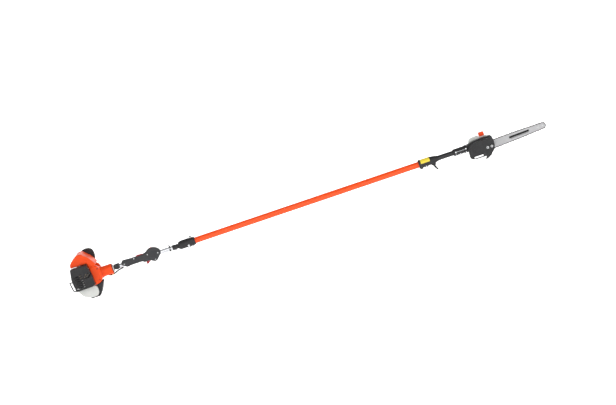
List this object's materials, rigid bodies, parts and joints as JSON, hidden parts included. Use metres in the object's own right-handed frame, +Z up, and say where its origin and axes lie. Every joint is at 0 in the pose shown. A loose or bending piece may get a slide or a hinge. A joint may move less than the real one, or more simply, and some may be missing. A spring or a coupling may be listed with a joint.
{
  "type": "telescoping pole saw",
  "caption": "Petrol telescoping pole saw: engine at the rear, grip, telescoping two-tube pole with lock lever, and a chain saw head with guide bar.",
  "frame": {"origin": "centre of the engine stand's flat foot, below the crankshaft's front end", "axes": "+X along the pole towards the saw bar, +Z up from the stand, -Y the muffler and bar nut side"},
  "size_m": [2.7775, 0.212, 0.2596],
  "materials": {
    "orange_plastic": "gloss moulded nylon",
    "orange_tube": "gloss powder coat",
    "black_plastic": "fine textured nylon",
    "grey_grip": "soft grip plastic",
    "red_plastic": "satin moulded plastic",
    "milky_plastic": "translucent polyethylene",
    "bright_alloy": "bare satin",
    "cast_alloy": "die cast",
    "steel": "zinc plated",
    "dark_steel": "blued and oiled",
    "black_painted": "satin black coat",
    "foam": "open cell foam",
    "bush_plastic": "self-lubricating nylon"
  },
  "bodies": {
    "powerhead": {"clutch_housing": "orange_plastic", "drive_tube": "bright_alloy", "connecting_rod": "cast_alloy", "piston": "bright_alloy", "crankcase": "cast_alloy", "cylinder": "bright_alloy", "spark_plug": "steel", "ignition_coil": "black_plastic", "muffler": "dark_steel", "carburetor": "cast_alloy", "air_filter": "foam", "air_filter_cover": "black_plastic", "engine_cover": "orange_plastic", "muffler_cover": "black_plastic", "rear_guard_bail": "black_painted", "starter_housing": "black_plastic", "fuel_tank": "milky_plastic", "tank_guard": "black_plastic", "throttle_cable": "black_plastic", "tube_block": "black_plastic", "grip_right": "grey_grip", "grip_left": "grey_grip", "harness_eye": "dark_steel", "coupling_right": "black_plastic", "coupling_left": "black_plastic", "outer_tube": "orange_tube", "front_collar": "black_plastic"},
    "sliding_pole": {"inner_tube": "black_painted", "slide_bush": "bush_plastic", "head_clamp": "black_painted", "gear_case": "black_painted", "gear_case_lid": "cast_alloy", "guide_bar": "bright_alloy", "saw_chain": "dark_steel", "sprocket_cover": "black_plastic", "bar_nut_1": "steel", "bar_nut_2": "steel", "oil_tank": "milky_plastic"},
    "crankshaft": {"crank_half_front": "steel", "crank_half_rear": "steel", "flywheel": "cast_alloy", "clutch_shoes": "cast_alloy"},
    "lower_drive": {"clutch_drum": "dark_steel", "lower_drive_shaft": "steel"},
    "upper_drive": {"upper_drive_shaft": "steel", "bevel_pinion": "steel"},
    "cross_gear": {"bevel_gear_shaft": "steel"},
    "sprocket_drive": {"sprocket_shaft": "steel", "drive_sprocket": "dark_steel"},
    "bar_nose": {"nose_sprocket": "dark_steel"},
    "starter_reel": {"starter_pulley": "black_plastic"},
    "starter_handle": {"starter_grip": "black_plastic"},
    "trigger": {"throttle_trigger": "red_plastic"},
    "lockout": {"throttle_lockout": "red_plastic"},
    "stop": {"stop_switch": "red_plastic"},
    "choke": {"choke_lever": "black_plastic"},
    "purge": {"purge_bulb": "milky_plastic"},
    "fuel_filler_cap": {"fuel_cap": "black_plastic"},
    "oil_filler_cap": {"oil_cap": "orange_plastic"},
    "telescope_lever": {"lock_lever": "black_plastic"}
  },
  "joints": [
    {"name": "telescope", "type": "slide", "parent": "powerhead", "child": "sliding_pole", "axis": [1, 0, 0], "range_m": [0, 1.17]},
    {"name": "crank_spin", "type": "hinge", "parent": "powerhead", "child": "crankshaft", "pos_m": [-0.024, 0, 0.1165], "axis": [1, 0, 0], "continuous": true},
    {"name": "drive_spin", "type": "hinge", "parent": "powerhead", "child": "lower_drive", "pos_m": [0.124, 0, 0.1165], "axis": [1, 0, 0], "continuous": true},
    {"name": "upper_drive_spin", "type": "hinge", "parent": "sliding_pole", "child": "upper_drive", "pos_m": [2.124, 0, 0.1165], "axis": [1, 0, 0], "continuous": true},
    {"name": "cross_gear_spin", "type": "hinge", "parent": "sliding_pole", "child": "cross_gear", "pos_m": [2.249, 0, 0.1165], "axis": [0, 1, 0], "continuous": true},
    {"name": "sprocket_spin", "type": "hinge", "parent": "sliding_pole", "child": "sprocket_drive", "pos_m": [2.249, 0, 0.0925], "axis": [0, 1, 0], "continuous": true},
    {"name": "nose_spin", "type": "hinge", "parent": "sliding_pole", "child": "bar_nose", "pos_m": [2.63589, -0.0213, 0.10533], "axis": [0, 1, 0], "continuous": true},
    {"name": "starter_pull", "type": "slide", "parent": "powerhead", "child": "starter_handle", "axis": [0, 1, 0], "range_m": [0, 0.6], "stiffness_N_per_m": 20, "springref_m": -0.05},
    {"name": "starter_reel_spin", "type": "hinge", "parent": "powerhead", "child": "starter_reel", "pos_m": [-0.084, 0, 0.1165], "axis": [1, 0, 0], "continuous": true},
    {"name": "throttle", "type": "hinge", "parent": "powerhead", "child": "trigger", "pos_m": [0.352, 0, 0.0965], "axis": [0, 1, 0], "range_deg": [0, 14], "stiffness_Nm_per_rad": 0.35, "springref_deg": -8.59},
    {"name": "lockout_press", "type": "hinge", "parent": "powerhead", "child": "lockout", "pos_m": [0.31, 0, 0.1355], "axis": [0, -1, 0], "range_deg": [0, 3], "stiffness_Nm_per_rad": 0.35, "springref_deg": -8.59},
    {"name": "stop_slide", "type": "slide", "parent": "powerhead", "child": "stop", "axis": [1, 0, 0], "range_m": [0, 0.005]},
    {"name": "choke_turn", "type": "hinge", "parent": "powerhead", "child": "choke", "pos_m": [-0.048, 0.076, 0.1765], "axis": [0, 1, 0], "range_deg": [0, 60]},
    {"name": "purge_press", "type": "slide", "parent": "powerhead", "child": "purge", "axis": [0, -1, 0], "range_m": [0, 0.004], "stiffness_N_per_m": 400, "springref_m": -0.002},
    {"name": "fuel_cap_off", "type": "slide", "parent": "powerhead", "child": "fuel_filler_cap", "axis": [0, 1, 0], "range_m": [0, 0.03]},
    {"name": "oil_cap_off", "type": "slide", "parent": "sliding_pole", "child": "oil_filler_cap", "axis": [0, 0, 1], "range_m": [0, 0.03]},
    {"name": "lock_lever_turn", "type": "hinge", "parent": "powerhead", "child": "telescope_lever", "pos_m": [1.998, 0, 0.0915], "axis": [0, 1, 0], "range_deg": [0, 60]}
  ],
  "couplings": [
    {"joint": "upper_drive_spin", "follows": "drive_spin", "ratio": 1},
    {"joint": "cross_gear_spin", "follows": "drive_spin", "ratio": -0.77778},
    {"joint": "sprocket_spin", "follows": "drive_spin", "ratio": 0.77778},
    {"joint": "nose_spin", "follows": "drive_spin", "ratio": 0.51852},
    {"joint": "starter_reel_spin", "follows": "starter_pull", "rad_per_m": 29.412}
  ]
}
